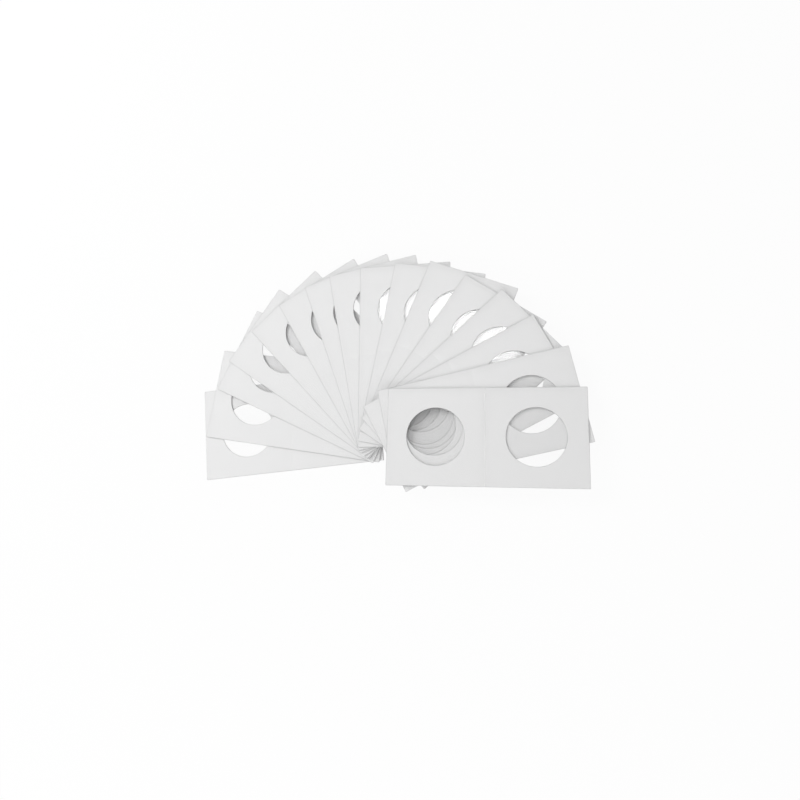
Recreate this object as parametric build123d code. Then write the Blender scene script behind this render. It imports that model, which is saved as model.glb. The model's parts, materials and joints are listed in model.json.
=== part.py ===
from build123d import *
import cmath
import math
import os

# A set of opened coin holder flips, fanned out on a table. Each flip is a paperboard blank with two
# round windows and a scored crease, and a clear film bonded to its upper, inner face. The flips lie
# flat on one another, the first at the bottom, and the last one is parted at its crease so that its
# far leaf folds over onto its near leaf.

# One flip, opened flat
FLIP_LENGTH = 100.0
FLIP_WIDTH = 50.0
CORNER_RADIUS = 0.5
BOARD_THICKNESS = 0.45
FILM_THICKNESS = 0.05
WINDOW_DIAMETER = 29.5
WINDOW_SPACING = 50.0

# The crease: a scored valley across the board, and a bead where the front flip folds
SCORE_WIDTH = 0.6
SCORE_DEPTH = 0.12
BEAD_RADIUS = 0.2
FOLD_CLEARANCE = 0.05

# The pile: air between one flip and the next, and the point that the fan opens about,
# measured in from a flip's near end and from its anticlockwise long edge
SLIP_CLEARANCE = 0.1
PIVOT_FROM_END = 2.7
PIVOT_FROM_EDGE = 9.5

# Each flip from the bottom up: the way it points, in degrees anticlockwise from the front flip,
# and how far it has slid from the pivot, outwards and across
FAN = (
    (187.0, -0.5, 0.0),
    (172.5, -0.5, 0.5),
    (156.0, -0.5, 1.0),
    (147.0, 0.5, -0.5),
    (134.5, -0.5, -0.5),
    (121.5, -0.5, 0.0),
    (111.0, 0.0, 0.0),
    (102.0, 0.0, 0.0),
    (91.5, 0.0, -0.5),
    (80.0, 1.5, -0.5),
    (69.0, 5.0, 0.0),
    (56.5, 3.5, 1.0),
    (43.0, 6.0, 4.5),
    (28.5, 6.0, 9.5),
    (13.0, 10.0, 16.0),
    (0.0, 10.0, 18.0),
)

FRONT = len(FAN) - 1
LAYER_PITCH = BOARD_THICKNESS + FILM_THICKNESS + SLIP_CLEARANCE
FOLD_HEIGHT = BOARD_THICKNESS + FILM_THICKNESS + FOLD_CLEARANCE
LEAF_EDGE = BEAD_RADIUS + FOLD_CLEARANCE


def middle_of(index):
    """The middle of a flip in plan, as a complex number, with the pivot at zero."""
    azimuth, slid_out, slid_across = FAN[index]
    along = FLIP_LENGTH / 2 - PIVOT_FROM_END + slid_out
    across = PIVOT_FROM_EDGE - FLIP_WIDTH / 2 + slid_across
    return complex(along, across) * cmath.rect(1.0, math.radians(azimuth))


def reach_of(index):
    """Half of a flip's box in plan, along X and Y."""
    turn = math.radians(FAN[index][0])
    length = FLIP_LENGTH / 2 - CORNER_RADIUS
    width = FLIP_WIDTH / 2 - CORNER_RADIUS
    along_x = length * abs(math.cos(turn)) + width * abs(math.sin(turn)) + CORNER_RADIUS
    along_y = length * abs(math.sin(turn)) + width * abs(math.cos(turn)) + CORNER_RADIUS
    return complex(along_x, along_y)


def plan_centre():
    """The middle of the whole fan's box in plan."""
    flips = range(len(FAN))
    low_x = min((middle_of(i) - reach_of(i)).real for i in flips)
    low_y = min((middle_of(i) - reach_of(i)).imag for i in flips)
    high_x = max((middle_of(i) + reach_of(i)).real for i in flips)
    high_y = max((middle_of(i) + reach_of(i)).imag for i in flips)
    return complex(low_x + high_x, low_y + high_y) / 2


PLAN_CENTRE = plan_centre()


def place(index):
    """Where a flip lies in the fan, from a flip laid on the origin along X."""
    spot = middle_of(index) - PLAN_CENTRE
    return Pos(spot.real, spot.imag, index * LAYER_PITCH) * Rot(0, 0, FAN[index][0])


def closing_turn(index):
    """The plan point and the angle that a flip turns by to lie square on the bottom flip."""
    angle = FAN[0][0] - FAN[index][0]
    turn = cmath.rect(1.0, math.radians(angle))
    pole = (middle_of(0) - turn * middle_of(index)) / (1 - turn)
    return pole - PLAN_CENTRE, angle


def outline():
    """The blank's outline, the same for the board and its film."""
    return RectangleRounded(FLIP_LENGTH, FLIP_WIDTH, CORNER_RADIUS)


def blank():
    """The die-cut board with its two windows, lying on Z = 0 along X."""
    sheet = outline()
    for side in (-1, 1):
        sheet -= Pos(side * WINDOW_SPACING / 2, 0) * Circle(WINDOW_DIAMETER / 2)
    return extrude(sheet, BOARD_THICKNESS)


def board():
    """The blank with its crease scored across the upper face."""
    valley = Polygon(
        (-SCORE_WIDTH / 2, BOARD_THICKNESS),
        (0, BOARD_THICKNESS - SCORE_DEPTH),
        (SCORE_WIDTH / 2, BOARD_THICKNESS),
        align=None,
    )
    return blank() - extrude(Plane.XZ * valley, FLIP_WIDTH, both=True)


def film():
    """The clear film, bonded to the upper face of the board."""
    return Pos(0, 0, BOARD_THICKNESS) * extrude(outline(), FILM_THICKNESS)


def leaf(piece, side, edge):
    """One half of a flip's piece, kept from the given distance off the crease outwards."""
    room = Box(
        FLIP_LENGTH,
        2 * FLIP_WIDTH,
        2 * LAYER_PITCH,
        align=(Align.MIN if side > 0 else Align.MAX, Align.CENTER, Align.CENTER),
    )
    return piece & (Pos(side * edge, 0, 0) * room)


def bead():
    """The rounded ridge on the fold line, which the far leaf turns round."""
    length = FLIP_WIDTH - 2 * CORNER_RADIUS
    return Pos(0, 0, FOLD_HEIGHT) * Rot(90, 0, 0) * Cylinder(BEAD_RADIUS, length)


def front_leaves():
    """The front flip's pieces: its near half, with the bead, and its far half."""
    return {
        "near_board": leaf(blank(), -1, 0) + bead(),
        "near_film": leaf(film(), -1, LEAF_EDGE),
        "far_board": leaf(blank(), 1, LEAF_EDGE),
        "far_film": leaf(film(), 1, LEAF_EDGE),
    }


def build():
    """Every piece of the set by name, in its place in the fan."""
    pieces = {}
    for index in range(len(FAN)):
        flip = front_leaves() if index == FRONT else {"board": board(), "film": film()}
        for name, shape in flip.items():
            pieces[f"flip_{index + 1:02d}_{name}"] = place(index) * shape
    return pieces


def tell_places():
    """Print the turning points of the flips and the fold, in millimetres."""
    for index in range(1, len(FAN)):
        pole, angle = closing_turn(index)
        print(f"flip_{index + 1:02d} closes by {angle:.1f} about ({pole.real:.4f}, {pole.imag:.4f})")
    for index in (0, FRONT):
        middle = place(index).position
        print(f"flip_{index + 1:02d} middle ({middle.X:.4f}, {middle.Y:.4f}, {middle.Z:.4f})")
    print(f"fold line {FRONT * LAYER_PITCH + FOLD_HEIGHT:.4f} above the table")


os.makedirs("parts", exist_ok=True)
for node, shape in build().items():
    export_step(shape, f"parts/{node}.step")
tell_places()
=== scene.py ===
import json
import math

import bpy
from bpy.props import FloatProperty, FloatVectorProperty, PointerProperty
from mathutils import Euler, Matrix, Vector

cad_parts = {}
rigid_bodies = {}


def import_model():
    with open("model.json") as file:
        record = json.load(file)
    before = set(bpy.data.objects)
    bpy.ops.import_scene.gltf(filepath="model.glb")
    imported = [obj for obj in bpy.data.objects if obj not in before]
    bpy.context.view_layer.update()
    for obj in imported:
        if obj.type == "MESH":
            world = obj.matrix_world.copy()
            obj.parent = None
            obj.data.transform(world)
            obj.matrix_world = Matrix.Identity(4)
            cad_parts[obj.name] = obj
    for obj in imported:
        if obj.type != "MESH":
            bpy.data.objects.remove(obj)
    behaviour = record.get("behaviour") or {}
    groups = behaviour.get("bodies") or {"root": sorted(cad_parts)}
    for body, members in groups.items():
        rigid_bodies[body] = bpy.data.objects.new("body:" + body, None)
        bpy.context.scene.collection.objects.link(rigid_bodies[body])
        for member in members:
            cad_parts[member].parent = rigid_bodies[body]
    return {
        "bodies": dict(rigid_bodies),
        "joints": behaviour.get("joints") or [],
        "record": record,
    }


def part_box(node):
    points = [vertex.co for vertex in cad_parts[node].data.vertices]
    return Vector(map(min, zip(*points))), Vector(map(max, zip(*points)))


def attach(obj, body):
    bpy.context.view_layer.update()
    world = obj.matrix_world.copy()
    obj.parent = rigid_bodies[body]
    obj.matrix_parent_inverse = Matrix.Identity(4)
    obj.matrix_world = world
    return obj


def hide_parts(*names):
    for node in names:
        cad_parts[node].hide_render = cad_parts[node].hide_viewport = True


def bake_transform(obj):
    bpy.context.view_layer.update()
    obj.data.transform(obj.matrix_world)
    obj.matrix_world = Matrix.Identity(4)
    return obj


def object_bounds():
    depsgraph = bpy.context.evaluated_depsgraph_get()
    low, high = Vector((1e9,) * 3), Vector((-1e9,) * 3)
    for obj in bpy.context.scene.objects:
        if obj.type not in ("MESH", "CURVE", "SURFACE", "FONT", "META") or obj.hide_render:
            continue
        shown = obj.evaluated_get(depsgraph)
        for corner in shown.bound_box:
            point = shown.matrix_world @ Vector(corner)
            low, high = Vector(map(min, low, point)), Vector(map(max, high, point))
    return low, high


bl_info = {
    "name": "Coin holder flips",
    "version": (1, 0, 0),
    "blender": (4, 5, 0),
    "location": "3D View > Sidebar > Coin flips",
    "description": "Dresses a fan of coin holder flips in white paperboard and clear film",
    "category": "Object",
}

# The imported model, and its box before anything is dressed
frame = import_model()
CAD_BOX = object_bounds()

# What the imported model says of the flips, in metres and degrees
JOINTS = {joint["name"]: joint for joint in frame["joints"]}
MOUNTS = {mount["name"]: Vector(mount["pos_m"]) for mount in frame["record"]["mounts"]}
FOLD = Vector(JOINTS["front_flip_fold"]["pos_m"])
NEAR_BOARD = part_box("flip_16_near_board")
FAR_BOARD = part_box("flip_16_far_board")
FAR_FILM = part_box("flip_16_far_film")
LOWER_FLIPS = sorted(body for body in frame["bodies"] if not body.startswith("flip_16"))

# Millimetres, and how fine the meshes are
MM = 0.001
SIDE_STEPS = 32
CORNER_STEPS = 3
LEAF_RINGS = (0.0, 0.12, 0.4, 0.7, 1.0)
DISC_RINGS = (0.25, 0.5, 0.75, 1.0)
FOLD_STEPS = 16
RIM_STEPS = 2

# The order of the materials on a board and on a film
# The cut slot's material is the board's core, darkened to paint the shade lines along the edges
FACE, CREASE, CUT_AND_SHADE = range(3)
CLEAR, BONDED = range(2)

# How the films differ: the share by which their dips change, and the step in radians from flip to flip
DIP_CHANGE = 0.5
DIP_STEP = 2.4

# Noise: the span that most of its values lie in, how far apart two pieces' noises may be, and no stretch
NOISE_LOW = 0.3
NOISE_HIGH = 0.7
NOISE_APART = 20.0
EVEN = (1.0, 1.0, 1.0)

# The sizes of the slower noises, in features per metre
MOTTLE_SCALE = 110.0
GRAIN_SCALE = 1500.0
FLOOR_SCALE = 40.0

# The floor's gap under the fan, and how much of its white is left where it is dullest
FLOOR_GAP = 0.02 * MM
FLOOR_DULL = 0.985

# Watts per square metre that make a lamp look as bright as plain white
LAMP_WATTS = 4.0

# How many faces of film a ray may pass
FILM_PASSES = 96


class FlipSizes(bpy.types.PropertyGroup):
    """The sizes of one flip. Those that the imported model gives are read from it."""

    length: FloatProperty(
        name="Length", description="An opened flip from end to end",
        default=FAR_BOARD[1].x - NEAR_BOARD[0].x, unit="LENGTH", precision=5)
    width: FloatProperty(
        name="Width", description="A flip from one long edge to the other",
        default=FAR_BOARD[1].y - FAR_BOARD[0].y, unit="LENGTH", precision=5)
    corner_radius: FloatProperty(
        name="Corner radius", description="The rounding of the four corners",
        default=0.5 * MM, unit="LENGTH", precision=5)
    board_thickness: FloatProperty(
        name="Board thickness", description="The paperboard from face to face",
        default=FAR_BOARD[1].z - FAR_BOARD[0].z, unit="LENGTH", precision=5)
    film_thickness: FloatProperty(
        name="Film thickness", description="The clear film from face to face",
        default=FAR_FILM[1].z - FAR_FILM[0].z, unit="LENGTH", precision=5)
    window_diameter: FloatProperty(
        name="Window diameter", description="The round hole that shows the coin",
        default=29.5 * MM, unit="LENGTH", precision=5)
    window_spacing: FloatProperty(
        name="Window spacing", description="From the middle of one window to the other",
        default=2 * (FOLD.x - MOUNTS["coin_seat"].x), unit="LENGTH", precision=5)
    score_width: FloatProperty(
        name="Score width", description="The pressed valley along the crease",
        default=0.6 * MM, unit="LENGTH", precision=5)
    score_depth: FloatProperty(
        name="Score depth", description="How far the crease is pressed in",
        default=0.03 * MM, unit="LENGTH", precision=5)
    fold_ridge: FloatProperty(
        name="Fold ridge", description="How far the paper swells along the front flip's fold",
        default=0.04 * MM, unit="LENGTH", precision=5)
    fold_inset: FloatProperty(
        name="Fold inset", description="How far the folding strip stays inside the flip's long edges",
        default=0.04 * MM, unit="LENGTH", precision=5)
    # The rounded rim takes the darkened cut material, so this is also the width of the painted shade line
    # along each edge
    cut_rounding: FloatProperty(
        name="Cut rounding", description="The soft rim that the cutting die leaves",
        default=0.16 * MM, unit="LENGTH", precision=5)
    film_lift: FloatProperty(
        name="Film lift", description="The glue line between the film and the board",
        default=0.008 * MM, unit="LENGTH", precision=6)
    film_dip: FloatProperty(
        name="Film dip", description="How far the film sags in the middle of a window",
        default=0.06 * MM, unit="LENGTH", precision=5)
    film_wave: FloatProperty(
        name="Film wave", description="The share by which the dip differs along a flip and across it",
        default=0.5, min=0, max=1, subtype="FACTOR")


class FlipFinish(bpy.types.PropertyGroup):
    """The colours and the finish of the paperboard and the film."""

    board_colour: FloatVectorProperty(
        name="Board colour", description="The white paperboard",
        default=(0.86, 0.86, 0.86, 1.0), size=4, subtype="COLOR", min=0, max=1)
    fibre_colour: FloatVectorProperty(
        name="Fibre colour", description="The paperboard between its brighter fibres",
        default=(0.82, 0.82, 0.82, 1.0), size=4, subtype="COLOR", min=0, max=1)
    crease_colour: FloatVectorProperty(
        name="Crease colour", description="The pressed paper in the crease",
        default=(0.83, 0.83, 0.83, 1.0), size=4, subtype="COLOR", min=0, max=1)
    # The cut edge's two colours are the board's grey core, made darker still to paint the shade lines that
    # fall along every cut edge and window rim
    cut_and_shade_colour: FloatVectorProperty(
        name="Cut colour", description="The bare core of the board at its cut edges",
        default=(0.62, 0.62, 0.62, 1.0), size=4, subtype="COLOR", min=0, max=1)
    core_and_shade_colour: FloatVectorProperty(
        name="Core colour", description="The core between its paler fibres",
        default=(0.46, 0.46, 0.46, 1.0), size=4, subtype="COLOR", min=0, max=1)
    mottle: FloatProperty(
        name="Mottle", description="The most that the slow mottle takes from the brighter colour",
        default=0.35, min=0, max=1, subtype="FACTOR")
    paper_sheen: FloatProperty(
        name="Paper sheen", description="The specular level of the matt paperboard",
        default=0.25, min=0, max=1, subtype="FACTOR")
    fibre_strength: FloatProperty(
        name="Fibre strength", description="How strongly the light takes up the fibres' relief",
        default=0.5, min=0, max=1, subtype="FACTOR")
    film_colour: FloatVectorProperty(
        name="Film colour", description="What the clear film lets through",
        default=(0.9995, 0.9995, 0.9995, 1.0), size=4, subtype="COLOR", min=0, max=1)
    film_ior: FloatProperty(
        name="Film gloss", description="The index that sets how much the film mirrors",
        default=1.2, min=1.0, max=2.0)
    film_roughness: FloatProperty(
        name="Film roughness", description="The blur of what the window film mirrors",
        default=0.08, min=0, max=1, subtype="FACTOR")
    bonded_gloss: FloatProperty(
        name="Bonded gloss", description="The share of light the film mirrors on the board",
        default=0.012, min=0, max=1, subtype="FACTOR")
    bonded_change: FloatProperty(
        name="Bonded change", description="The share by which the paper's grain changes that gloss",
        default=0.4, min=0, max=1, subtype="FACTOR")
    bonded_roughness: FloatProperty(
        name="Bonded roughness", description="The satin of the film on the board",
        default=0.5, min=0, max=1, subtype="FACTOR")


class StageSetting(bpy.types.PropertyGroup):
    """The camera, the floor and the light."""

    camera_place: FloatVectorProperty(
        name="Camera place", description="Where the camera stands",
        default=(0.06235, -0.07474, 0.3046), unit="LENGTH", subtype="TRANSLATION")
    camera_turn: FloatVectorProperty(
        name="Camera turn", description="How the camera is turned from looking straight down",
        default=[math.radians(turn) for turn in (10.89, 9.93, 1.54)], subtype="EULER")
    camera_lens: FloatProperty(
        name="Lens", description="The focal length on a 36 mm frame",
        default=26.5, min=1, unit="CAMERA")
    floor_colour: FloatVectorProperty(
        name="Floor colour", description="The pale table top",
        default=(0.9, 0.9, 0.9, 1.0), size=4, subtype="COLOR", min=0, max=1)
    floor_glow: FloatProperty(
        name="Floor white", description="The part of the floor's white that no shadow reaches",
        default=0.93, min=0, max=1, subtype="FACTOR")
    floor_reach: FloatProperty(
        name="Floor reach", description="From the middle of the floor to its edge",
        default=6.0, unit="LENGTH")
    sky_low: FloatProperty(
        name="Low light", description="The brightness of the room near the floor",
        default=0.64, min=0)
    sky_high: FloatProperty(
        name="High light", description="The brightness of the room overhead",
        default=0.6, min=0)
    mirror_box_place: FloatVectorProperty(
        name="Mirrored softbox place", description="The softbox behind the fan that only gloss shows",
        default=(-0.034, 0.212, 0.6), unit="LENGTH", subtype="TRANSLATION")
    mirror_box_size: FloatVectorProperty(
        name="Mirrored softbox size", description="The two sides of that softbox",
        default=(0.218, 0.155), size=2, unit="LENGTH")
    mirror_box_light: FloatProperty(
        name="Mirrored softbox light", description="How bright that softbox is to look at",
        default=14.0, min=0)
    side_box_place: FloatVectorProperty(
        name="Side softbox place", description="The softbox at the upper left",
        default=(-0.54, 0.3, 0.45), unit="LENGTH", subtype="TRANSLATION")
    side_box_size: FloatVectorProperty(
        name="Side softbox size", description="The two sides of that softbox",
        default=(0.35, 0.35), size=2, unit="LENGTH")
    side_box_light: FloatProperty(
        name="Side softbox light", description="How bright that softbox is to look at",
        default=4.5, min=0)
    front_box_place: FloatVectorProperty(
        name="Front softbox place", description="The low softbox before the fan",
        default=(-0.15, -0.65, 0.26), unit="LENGTH", subtype="TRANSLATION")
    front_box_size: FloatVectorProperty(
        name="Front softbox size", description="The two sides of that softbox",
        default=(0.65, 0.3), size=2, unit="LENGTH")
    front_box_light: FloatProperty(
        name="Front softbox light", description="How bright that softbox is to look at",
        default=2.2, min=0)


class Net:
    """A flat net of faces that share their corners, each face with its material."""

    def __init__(self):
        self.points = []
        self.faces = []
        self.slots = []
        self.known = {}

    def corner(self, point):
        """The number of a point, which the net holds once."""
        key = (round(point[0], 8), round(point[1], 8))
        if key not in self.known:
            self.known[key] = len(self.points)
            self.points.append(point)
        return self.known[key]

    def face(self, corners, slot):
        """One more face, with its corners put in anticlockwise order."""
        area = sum(a[0] * b[1] - b[0] * a[1] for a, b in zip(corners, corners[1:] + corners[:1]))
        ordered = corners if area > 0 else corners[::-1]
        self.faces.append([self.corner(point) for point in ordered])
        self.slots.append(slot)

    def band(self, inner, outer, slot):
        """A closed band of faces between two rings of as many points."""
        for i in range(len(inner)):
            self.face([inner[i - 1], outer[i - 1], outer[i], inner[i]], slot)


def fanned_steps():
    """Numbers from -1 to 1 whose rays from the middle of a square fan out evenly."""
    return [math.tan(math.pi / 4 * (2 * i / SIDE_STEPS - 1)) for i in range(SIDE_STEPS + 1)]


def leaf_border(sizes, inner):
    """A leaf's border seen from the middle of its window, with X towards the leaf's end."""
    back = sizes.window_spacing / 2 - inner
    front = (sizes.length - sizes.window_spacing) / 2
    side = sizes.width / 2
    radius = sizes.corner_radius
    steps = fanned_steps()
    crease = [(-back, side * step) for step in steps]
    edge = [((front if step > 0 else back) * step, side) for step in steps[1:-1]]
    corner = []
    for i in range(CORNER_STEPS + 1):
        turn = math.pi / 2 * (1 - i / CORNER_STEPS)
        corner.append((front - radius + radius * math.cos(turn), side - radius + radius * math.sin(turn)))
    end = [(front, side * step) for step in reversed(steps[1:-1])]
    upper = edge + corner
    lower = [(x, -y) for x, y in reversed(upper)]
    return crease + upper + end + lower


def between(start, end, share):
    """The point that share of the way from start to end."""
    return tuple(a + (b - a) * share for a, b in zip(start, end))


def window_ring(sizes, border):
    """The points of the window's rim that face the points of the border."""
    radius = sizes.window_diameter / 2
    return [(x * radius / math.hypot(x, y), y * radius / math.hypot(x, y)) for x, y in border]


def placed(sizes, side, ring):
    """A ring seen from the middle of a window, put on the near (-1) or the far (1) leaf."""
    return [(side * (sizes.window_spacing / 2 + x), y) for x, y in ring]


def add_leaf(net, sizes, side, inner, slot):
    """One leaf round its window, from its border to the window's rim."""
    border = leaf_border(sizes, inner)
    rim = window_ring(sizes, border)
    rings = []
    for share in LEAF_RINGS:
        rings.append(placed(sizes, side, [between(a, b, share) for a, b in zip(rim, border)]))
    for small, large in zip(rings, rings[1:]):
        net.band(small, large, slot)


def add_disc(net, sizes, side, inner, slot):
    """The round of film across a window."""
    rim = window_ring(sizes, leaf_border(sizes, inner))
    rings = [placed(sizes, side, [(x * share, y * share) for x, y in rim]) for share in DISC_RINGS]
    middle = placed(sizes, side, [(0.0, 0.0)])[0]
    for i in range(len(rim)):
        net.face([middle, rings[0][i - 1], rings[0][i]], slot)
    for small, large in zip(rings, rings[1:]):
        net.band(small, large, slot)


def add_crease(net, sizes, inner, slot):
    """The strip along the crease that joins the two leaves, with a line of points down its middle."""
    across = [sizes.width / 2 * step for step in fanned_steps()]
    for low, high in zip(across, across[1:]):
        for side in (-1, 1):
            net.face([(0.0, low), (side * inner, low), (side * inner, high), (0.0, high)], slot)


def thick_sheet(name, net, top, bottom, rim_slot, materials, fold=None, rounded=False):
    """A closed mesh over a net, with walls along its rims. Top and bottom give the height at a point.

    A rim at the given distance from the crease is where the sheet folds, and takes the face's material.
    The other rims are marked for rounding if they are to be rounded.
    """
    count = len(net.points)
    points = [(x, y, top(x, y)) for x, y in net.points]
    points += [(x, y, bottom(x, y)) for x, y in net.points]
    faces = net.faces + [[i + count for i in reversed(face)] for face in net.faces]
    slots = net.slots + net.slots
    smooth = [True] * len(faces)
    edges = {(face[i - 1], face[i]) for face in net.faces for i in range(len(face))}
    cuts = set()
    for start, end in sorted(edges):
        if (end, start) in edges:
            continue
        faces.append([start, start + count, end + count, end])
        folds = fold is not None and all(math.isclose(abs(points[i][0]), fold) for i in (start, end))
        slots.append(FACE if folds else rim_slot)
        smooth.append(rounded and not folds)
        if smooth[-1]:
            cuts.add(frozenset((start, end)))
            cuts.add(frozenset((start + count, end + count)))
    mesh = bpy.data.meshes.new(name)
    mesh.from_pydata(points, [], faces)
    for material in materials:
        mesh.materials.append(material)
    mesh.polygons.foreach_set("material_index", slots)
    mesh.polygons.foreach_set("use_smooth", smooth)
    mesh.validate()
    marks = mesh.attributes.new("bevel_weight_edge", "FLOAT", "EDGE")
    marks.data.foreach_set("value", [float(frozenset(edge.vertices) in cuts) for edge in mesh.edges])
    return mesh


def board_mesh(sizes, materials):
    """A whole board: two leaves and the scored crease between them."""
    net = Net()
    inner = sizes.score_width / 2
    for side in (-1, 1):
        add_leaf(net, sizes, side, inner, FACE)
    add_crease(net, sizes, inner, CREASE)
    valley = sizes.board_thickness - sizes.score_depth

    def top(x, y):
        return sizes.board_thickness if x else valley

    return thick_sheet("scored_board", net, top, lambda x, y: 0.0, CUT_AND_SHADE, materials, rounded=True)


def leaf_board_mesh(name, sizes, side, inner, materials):
    """The board of one leaf of the front flip."""
    net = Net()
    add_leaf(net, sizes, side, inner, FACE)
    return thick_sheet(
        name, net, lambda x, y: sizes.board_thickness, lambda x, y: 0.0, CUT_AND_SHADE, materials,
        fold=inner, rounded=True)


def film_sag(sizes, depth):
    """How far the film hangs below its board's face: a shallow, slightly wavy bowl in each window."""
    radius = sizes.window_diameter / 2

    def sag(x, y):
        along = (abs(x) - sizes.window_spacing / 2) / radius
        across = y / radius
        bowl = max(0.0, 1 - along * along - across * across)
        return depth * bowl * (1 + sizes.film_wave * (along * along - across * across))

    return sag


def film_mesh(name, sizes, sides, inner, depth, materials):
    """The film over one leaf, or over both and the crease between them."""
    net = Net()
    for side in sides:
        add_leaf(net, sizes, side, inner, BONDED)
        add_disc(net, sizes, side, inner, CLEAR)
    if len(sides) > 1:
        add_crease(net, sizes, inner, BONDED)
    sag = film_sag(sizes, depth)
    low = sizes.board_thickness + sizes.film_lift
    high = sizes.board_thickness + sizes.film_thickness
    return thick_sheet(
        name, net, lambda x, y: high - sag(x, y), lambda x, y: low - sag(x, y), BONDED, materials)


def fold_mesh(sizes, gap, materials):
    """The paper along the front flip's fold, from one leaf to the other."""
    net = Net()
    across = [(sizes.width / 2 - sizes.fold_inset) * step for step in fanned_steps()]
    along = [gap * (2 * i / FOLD_STEPS - 1) for i in range(FOLD_STEPS + 1)]
    for low, high in zip(across, across[1:]):
        for left, right in zip(along, along[1:]):
            net.face([(left, low), (right, low), (right, high), (left, high)], CREASE)

    def top(x, y):
        return sizes.board_thickness + sizes.fold_ridge * (1 - (x / gap) ** 2)

    return thick_sheet("front_fold", net, top, lambda x, y: 0.0, CUT_AND_SHADE, materials, fold=gap)


def flip_places():
    """Where each flip lies.

    A swivel closes its flip onto the bottom one, so the bottom flip turned back by it gives the place.
    The front flip lies along X and turns furthest, so the others' directions are counted from its turn.
    """
    # The rest face is under the middle of the bottom flip
    bottom = MOUNTS["rest_face"]
    swivels = [joint for joint in JOINTS.values() if joint["name"].endswith("_swivel")]
    front_turn = max(joint["range_deg"][1] for joint in swivels)
    turned = {"flip_01": (bottom, front_turn)}
    for joint in swivels:
        turn = joint["range_deg"][1]
        pole = Vector(joint["pos_m"])
        spot = pole + Matrix.Rotation(-math.radians(turn), 3, "Z") @ (bottom - pole)
        turned[joint["child"]] = (spot, front_turn - turn)
    places = {}
    for body, (spot, azimuth) in turned.items():
        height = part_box(body + "_board")[0].z
        lift = Matrix.Translation((spot.x, spot.y, height))
        places[body] = lift @ Matrix.Rotation(math.radians(azimuth), 4, "Z")
    return places


def new_piece(name, mesh, place):
    """A mesh set in its place in the scene."""
    piece = bpy.data.objects.new(name, mesh)
    piece.matrix_world = place
    bpy.context.scene.collection.objects.link(piece)
    return piece


def round_the_cuts(piece, width):
    """The soft rim that the cutting die leaves on a board, in the darkened cut material, which paints a
    thin shade line along each edge.
    """
    rim = piece.modifiers.new("cut_rim", "BEVEL")
    rim.width = width
    rim.segments = RIM_STEPS
    rim.limit_method = "WEIGHT"
    rim.material = CUT_AND_SHADE
    rim.harden_normals = True


def node_tree(name):
    """A new material, its empty tree of nodes and its output."""
    material = bpy.data.materials.new(name)
    material.use_nodes = True
    tree = material.node_tree
    tree.nodes.clear()
    output = tree.nodes.new("ShaderNodeOutputMaterial")
    return material, tree, output


def add_node(tree, kind, **inputs):
    """A node with its sockets set, or linked where an output is given. Underscores stand for spaces."""
    node = tree.nodes.new(kind)
    for label, value in inputs.items():
        socket = node.inputs[label.replace("_", " ")]
        if isinstance(value, bpy.types.NodeSocket):
            tree.links.new(value, socket)
        else:
            socket.default_value = value
    return node


def own_noise(tree, scale, detail=2.0, roughness=0.5, stretch=EVEN):
    """A noise that rides on the piece, different on each one, with scale in features per metre."""
    coordinates = tree.nodes.new("ShaderNodeTexCoord")
    stretched = add_node(tree, "ShaderNodeMapping", Vector=coordinates.outputs["Object"], Scale=stretch)
    own = tree.nodes.new("ShaderNodeObjectInfo")
    seed = tree.nodes.new("ShaderNodeMath")
    seed.operation = "MULTIPLY"
    seed.inputs[1].default_value = NOISE_APART
    tree.links.new(own.outputs["Random"], seed.inputs[0])
    noise = add_node(tree, "ShaderNodeTexNoise", Scale=scale, Detail=detail, Roughness=roughness)
    noise.noise_dimensions = "4D"
    tree.links.new(stretched.outputs["Vector"], noise.inputs["Vector"])
    tree.links.new(seed.outputs["Value"], noise.inputs["W"])
    return noise.outputs["Fac"]


def ranged(tree, noise, low, high):
    """A noise spread from low to high."""
    spread = add_node(
        tree, "ShaderNodeMapRange", Value=noise, From_Min=NOISE_LOW, From_Max=NOISE_HIGH,
        To_Min=low, To_Max=high)
    return spread.outputs["Result"]


def blended(tree, share, first, second):
    """One colour mixed into another by a share."""
    mix = tree.nodes.new("ShaderNodeMix")
    mix.data_type = "RGBA"
    tree.links.new(share, mix.inputs["Factor"])
    colours = [socket for socket in mix.inputs if socket.type == "RGBA"]
    for socket, colour in zip(colours, (first, second)):
        if isinstance(colour, bpy.types.NodeSocket):
            tree.links.new(colour, socket)
        else:
            socket.default_value = colour
    return next(socket for socket in mix.outputs if socket.type == "RGBA")


def mixed(tree, share, first, second):
    """One shader mixed into another by a share."""
    mix = add_node(tree, "ShaderNodeMixShader", Fac=share)
    tree.links.new(first, mix.inputs[1])
    tree.links.new(second, mix.inputs[2])
    return mix.outputs["Shader"]


def paper_material(name, finish, bright, dark, fibres_per_metre, stretch, roughness, relief):
    """Paperboard: short bright fibres over a slow mottle, matt, with the fibres standing up a little."""
    material, tree, output = node_tree(name)
    fibres = own_noise(tree, fibres_per_metre, detail=4.0, roughness=0.6, stretch=stretch)
    mottle = own_noise(tree, MOTTLE_SCALE)
    fibrous = blended(tree, ranged(tree, fibres, 0.0, 1.0), dark, bright)
    shaded = blended(tree, ranged(tree, mottle, 0.0, finish.mottle), fibrous, dark)
    raised = add_node(
        tree, "ShaderNodeBump", Strength=finish.fibre_strength, Distance=relief, Height=fibres)
    paper = add_node(
        tree, "ShaderNodeBsdfPrincipled", Base_Color=shaded, Roughness=ranged(tree, fibres, *roughness),
        Specular_IOR_Level=finish.paper_sheen, Normal=raised.outputs["Normal"])
    tree.links.new(paper.outputs["BSDF"], output.inputs["Surface"])
    return material


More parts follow.
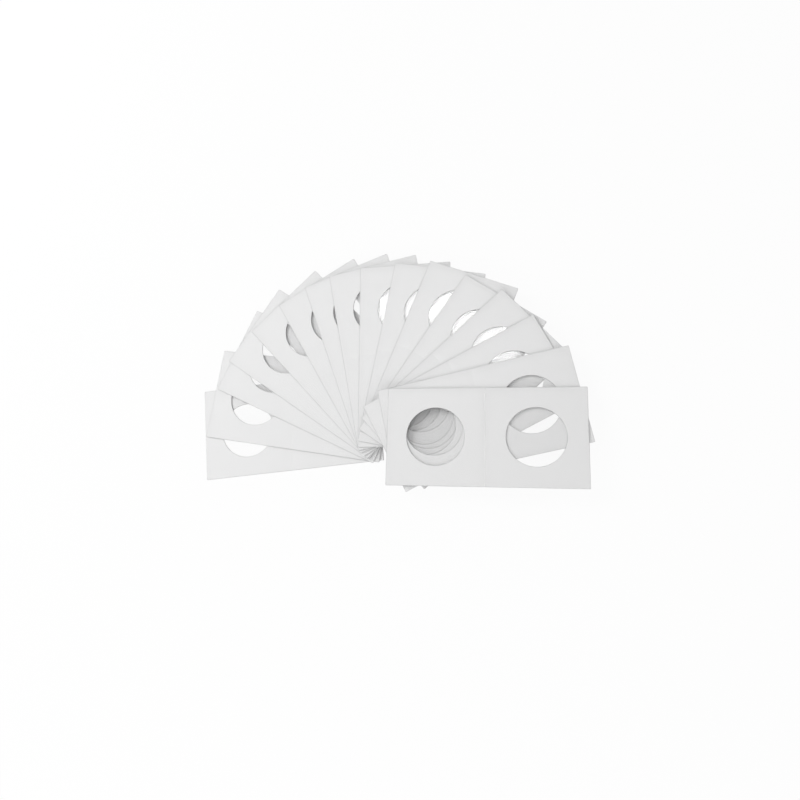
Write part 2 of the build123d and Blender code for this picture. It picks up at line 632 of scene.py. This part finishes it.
def face_material(name, finish):
    """The white face of the board, with its fibres laid along the flip."""
    return paper_material(
        name, finish, finish.board_colour, finish.fibre_colour,
        fibres_per_metre=2600.0, stretch=(0.6, 1.0, 1.0), roughness=(0.72, 0.86), relief=0.006 * MM)


def crease_material(name, finish):
    """The pressed paper in the crease, smoother, with its fibres laid along the crease."""
    return paper_material(
        name, finish, finish.board_colour, finish.crease_colour,
        fibres_per_metre=4000.0, stretch=(1.0, 0.3, 1.0), roughness=(0.55, 0.7), relief=0.006 * MM)


def cut_and_shade_material(name, finish):
    """The bare core at a cut edge, in thin layers, made darker to paint the shade that falls along the
    edges.
    """
    return paper_material(
        name, finish, finish.cut_and_shade_colour, finish.core_and_shade_colour,
        fibres_per_metre=4200.0, stretch=(0.15, 0.15, 3.0), roughness=(0.8, 0.95), relief=0.012 * MM)


def mirror_share(tree, ior):
    """How much a film's face mirrors, alike from above and from within the film."""
    face = tree.nodes.new("ShaderNodeNewGeometry")
    index = add_node(
        tree, "ShaderNodeMapRange", Value=face.outputs["Backfacing"], To_Min=ior, To_Max=1 / ior)
    share = add_node(tree, "ShaderNodeFresnel", IOR=index.outputs["Result"])
    return share.outputs["Fac"]


def clear_material(name, finish):
    """The film across a window: clear and glossy, and more so at a slant."""
    material, tree, output = node_tree(name)
    through = add_node(tree, "ShaderNodeBsdfTransparent", Color=finish.film_colour)
    gloss = add_node(tree, "ShaderNodeBsdfGlossy", Roughness=finish.film_roughness)
    film = mixed(tree, mirror_share(tree, finish.film_ior), through.outputs["BSDF"], gloss.outputs["BSDF"])
    tree.links.new(film, output.inputs["Surface"])
    return material


def bonded_material(name, finish):
    """The film where it is bonded to the board: a faint satin skin that takes up the paper's grain."""
    material, tree, output = node_tree(name)
    grain = own_noise(tree, GRAIN_SCALE)
    least = finish.bonded_gloss * (1 - finish.bonded_change)
    most = finish.bonded_gloss * (1 + finish.bonded_change)
    through = add_node(tree, "ShaderNodeBsdfTransparent", Color=finish.film_colour)
    satin = add_node(tree, "ShaderNodeBsdfGlossy", Roughness=finish.bonded_roughness)
    film = mixed(tree, ranged(tree, grain, least, most), through.outputs["BSDF"], satin.outputs["BSDF"])
    tree.links.new(film, output.inputs["Surface"])
    return material


# The materials of a board and of a film, in the order of their slots
BOARD_MATERIALS = {
    "paperboard_face": face_material,
    "paperboard_crease": crease_material,
    "paperboard_cut_edge_and_shade": cut_and_shade_material,
}
FILM_MATERIALS = {"window_film": clear_material, "bonded_film": bonded_material}


def made_once(makers, finish):
    """The materials of these names. One that an earlier piece already has isn't made again."""
    return [bpy.data.materials.get(name) or make(name, finish) for name, make in makers.items()]


def floor_material(stage):
    """A pale floor, white to the camera and to what mirrors it, which keeps the fan's shadow."""
    material, tree, output = node_tree("pale_floor")
    mottle = own_noise(tree, FLOOR_SCALE)
    duller = [FLOOR_DULL * part for part in stage.floor_colour[:3]] + [1.0]
    shade = blended(tree, ranged(tree, mottle, 0.0, 1.0), duller, stage.floor_colour)
    path = tree.nodes.new("ShaderNodeLightPath")
    seen = path.outputs["Is Camera Ray"]
    for other in ("Is Glossy Ray", "Is Transmission Ray"):
        both = tree.nodes.new("ShaderNodeMath")
        both.operation = "MAXIMUM"
        tree.links.new(seen, both.inputs[0])
        tree.links.new(path.outputs[other], both.inputs[1])
        seen = both.outputs["Value"]
    table = add_node(tree, "ShaderNodeBsdfDiffuse", Color=shade)
    white = add_node(tree, "ShaderNodeEmission", Color=(1.0, 1.0, 1.0, 1.0), Strength=1.0)
    lifted = mixed(tree, stage.floor_glow, table.outputs["BSDF"], white.outputs["Emission"])
    floor = mixed(tree, seen, table.outputs["BSDF"], lifted)
    tree.links.new(floor, output.inputs["Surface"])
    return material


def make_floor(stage):
    """A wide floor just under the bottom flip."""
    reach = stage.floor_reach
    under = CAD_BOX[0].z - FLOOR_GAP
    mesh = bpy.data.meshes.new("floor")
    corners = [(-reach, -reach), (reach, -reach), (reach, reach), (-reach, reach)]
    mesh.from_pydata([(x, y, under) for x, y in corners], [], [[0, 1, 2, 3]])
    mesh.materials.append(floor_material(stage))
    floor = new_piece("floor", mesh, Matrix.Identity(4))


def make_softbox(name, place, size, light):
    """A softbox that faces the middle of the fan and is returned. Light is its brightness to look at."""
    lamp = bpy.data.lights.new(name, "AREA")
    lamp.shape = "RECTANGLE"
    lamp.size, lamp.size_y = size
    lamp.energy = LAMP_WATTS * size[0] * size[1] * light
    softbox = bpy.data.objects.new(name, lamp)
    softbox.location = place
    middle = (CAD_BOX[0] + CAD_BOX[1]) / 2
    softbox.rotation_euler = (middle - Vector(place)).to_track_quat("-Z", "Y").to_euler()
    softbox.visible_camera = False
    bpy.context.scene.collection.objects.link(softbox)
    return softbox


def make_room(stage):
    """Soft light from all round, brighter near the floor than overhead."""
    world = bpy.data.worlds.new("studio")
    world.use_nodes = True
    tree = world.node_tree
    tree.nodes.clear()
    coordinates = tree.nodes.new("ShaderNodeTexCoord")
    parts = add_node(tree, "ShaderNodeSeparateXYZ", Vector=coordinates.outputs["Generated"])
    height = add_node(
        tree, "ShaderNodeMapRange", Value=parts.outputs["Z"], To_Min=stage.sky_low, To_Max=stage.sky_high)
    light = add_node(
        tree, "ShaderNodeBackground", Color=(1.0, 1.0, 1.0, 1.0), Strength=height.outputs["Result"])
    output = tree.nodes.new("ShaderNodeOutputWorld")
    tree.links.new(light.outputs["Background"], output.inputs["Surface"])
    bpy.context.scene.world = world


def make_camera(stage):
    """The camera, near and almost overhead."""
    lens = bpy.data.cameras.new("camera")
    lens.lens = stage.camera_lens
    camera = bpy.data.objects.new("camera", lens)
    camera.matrix_world = Matrix.LocRotScale(Vector(stage.camera_place), Euler(stage.camera_turn), None)
    bpy.context.scene.collection.objects.link(camera)
    bpy.context.scene.camera = camera


class COINFLIPS_OT_lower_boards(bpy.types.Operator):
    """Make the boards of the flips under the front one"""

    bl_idname = "coin_flips.lower_boards"
    bl_label = "Lower boards"

    def execute(self, context):
        sizes = context.scene.coin_flip_sizes
        places = flip_places()
        materials = made_once(BOARD_MATERIALS, context.scene.coin_flip_finish)
        mesh = board_mesh(sizes, materials)
        for body in LOWER_FLIPS:
            board = new_piece(body + "_paperboard", mesh, places[body])
            round_the_cuts(board, sizes.cut_rounding)
            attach(board, body)
            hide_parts(body + "_board")
        return {"FINISHED"}


class COINFLIPS_OT_lower_films(bpy.types.Operator):
    """Make the films of the flips under the front one"""

    bl_idname = "coin_flips.lower_films"
    bl_label = "Lower films"

    def execute(self, context):
        sizes = context.scene.coin_flip_sizes
        places = flip_places()
        materials = made_once(FILM_MATERIALS, context.scene.coin_flip_finish)
        inner = sizes.score_width / 2
        for number, body in enumerate(LOWER_FLIPS):
            depth = sizes.film_dip * (1 + DIP_CHANGE * math.cos(DIP_STEP * number))
            mesh = film_mesh(body + "_film_sheet", sizes, (-1, 1), inner, depth, materials)
            film = new_piece(body + "_clear_film", mesh, places[body])
            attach(film, body)
            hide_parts(body + "_film")
        return {"FINISHED"}


class COINFLIPS_OT_front_flip(bpy.types.Operator):
    """Make the front flip, whose far leaf folds over onto its near leaf"""

    bl_idname = "coin_flips.front_flip"
    bl_label = "Front flip"

    def execute(self, context):
        sizes = context.scene.coin_flip_sizes
        finish = context.scene.coin_flip_finish
        place = flip_places()["flip_16_near"]
        paper = made_once(BOARD_MATERIALS, finish)
        clear = made_once(FILM_MATERIALS, finish)
        gap = FAR_BOARD[0].x - FOLD.x
        for leaf, side in (("near", -1), ("far", 1)):
            body = "flip_16_" + leaf
            board = new_piece(
                body + "_paperboard", leaf_board_mesh(body + "_leaf", sizes, side, gap, paper), place)
            round_the_cuts(board, sizes.cut_rounding)
            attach(board, body)
            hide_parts(body + "_board")
            mesh = film_mesh(body + "_film_sheet", sizes, (side,), gap, sizes.film_dip, clear)
            film = new_piece(body + "_clear_film", mesh, place)
            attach(film, body)
            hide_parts(body + "_film")
        fold = new_piece("flip_16_fold", fold_mesh(sizes, gap, paper), place)
        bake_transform(fold)
        return {"FINISHED"}


class COINFLIPS_OT_stage(bpy.types.Operator):
    """Make the floor, the light and the camera"""

    bl_idname = "coin_flips.stage"
    bl_label = "Stage"

    def execute(self, context):
        stage = context.scene.coin_flip_stage
        make_floor(stage)
        make_room(stage)
        mirrored = make_softbox(
            "mirrored_softbox", stage.mirror_box_place, stage.mirror_box_size, stage.mirror_box_light)
        mirrored.visible_diffuse = False
        make_softbox("side_softbox", stage.side_box_place, stage.side_box_size, stage.side_box_light)
        make_softbox("front_softbox", stage.front_box_place, stage.front_box_size, stage.front_box_light)
        make_camera(stage)
        context.scene.view_settings.view_transform = "Standard"
        context.scene.cycles.transparent_max_bounces = FILM_PASSES
        return {"FINISHED"}


class COINFLIPS_PT_panel(bpy.types.Panel):
    """The sizes, finishes, stage and steps of the coin flips"""

    bl_idname = "COINFLIPS_PT_panel"
    bl_label = "Coin flips"
    bl_space_type = "VIEW_3D"
    bl_region_type = "UI"
    bl_category = "Coin flips"

    def draw(self, context):
        for group in SETTINGS:
            settings = getattr(context.scene, group)
            box = self.layout.box()
            for name in settings.bl_rna.properties.keys():
                if name not in ("rna_type", "name"):
                    box.prop(settings, name)
        for step in OPERATORS:
            self.layout.operator(step.bl_idname)


SETTINGS = {"coin_flip_sizes": FlipSizes, "coin_flip_finish": FlipFinish, "coin_flip_stage": StageSetting}
OPERATORS = (
    COINFLIPS_OT_lower_boards, COINFLIPS_OT_lower_films, COINFLIPS_OT_front_flip, COINFLIPS_OT_stage)


def register():
    """Make the settings, the steps and the panel known"""
    for kind in (*SETTINGS.values(), *OPERATORS, COINFLIPS_PT_panel):
        bpy.utils.register_class(kind)
    for name, kind in SETTINGS.items():
        setattr(bpy.types.Scene, name, PointerProperty(type=kind))


def unregister():
    """Take them away again"""
    for name in SETTINGS:
        delattr(bpy.types.Scene, name)
    for kind in (COINFLIPS_PT_panel, *reversed(OPERATORS), *reversed(SETTINGS.values())):
        bpy.utils.unregister_class(kind)


def main():
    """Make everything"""
    register()
    bpy.ops.coin_flips.lower_boards()
    bpy.ops.coin_flips.lower_films()
    bpy.ops.coin_flips.front_flip()
    bpy.ops.coin_flips.stage()


if __name__ == "__main__":
    main()
